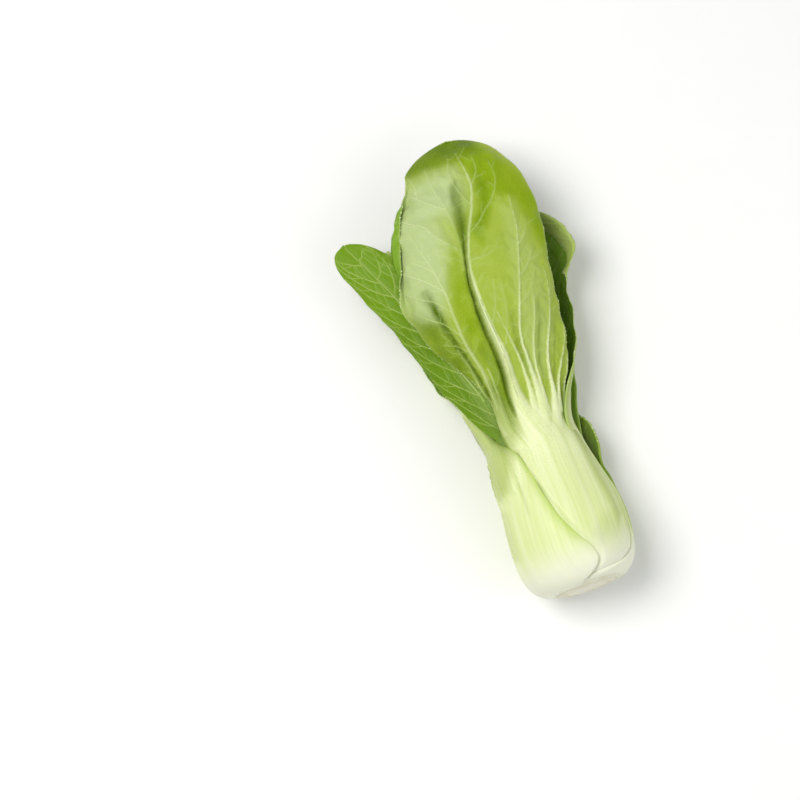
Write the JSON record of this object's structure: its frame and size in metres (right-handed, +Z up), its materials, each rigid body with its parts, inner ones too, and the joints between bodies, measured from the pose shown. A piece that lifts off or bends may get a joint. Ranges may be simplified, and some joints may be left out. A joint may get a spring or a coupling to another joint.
{
  "type": "baby bok choy head",
  "caption": "Head of baby bok choy cut at the root and lying on its back, pale cupped petioles nested in a bulb and flaring into green spoon-shaped blades.",
  "frame": {"origin": "under the middle of the bounding box, on the surface that the head lies on", "axes": "+Y along the head from the cut stem to the leaf tips, +X across it to the right seen from the cut end, +Z up"},
  "size_m": [0.0868, 0.1808, 0.0476],
  "materials": {
    "stem_flesh": "cut pale stem flesh, satin",
    "outer_leaf": "waxy leaf, cream-green petiole and mid-green veined blade",
    "inner_leaf": "waxy younger leaf, fresh green blade",
    "heart_leaf": "soft heart leaf, pale yellow-green"
  },
  "bodies": {
    "root": {"stem_base": "stem_flesh", "small_side_leaf": "outer_leaf", "outer_leaf_left": "outer_leaf", "back_leaf_right": "outer_leaf", "outer_leaf_front": "outer_leaf", "back_leaf_left": "outer_leaf", "outer_leaf_right": "outer_leaf", "middle_leaf_left": "inner_leaf", "inner_leaf_back": "inner_leaf", "inner_leaf_right": "inner_leaf", "inner_leaf_left": "inner_leaf", "heart_leaf_right": "heart_leaf", "heart_leaf_front": "heart_leaf", "heart_leaf_left": "heart_leaf"}
  },
  "joints": []
}
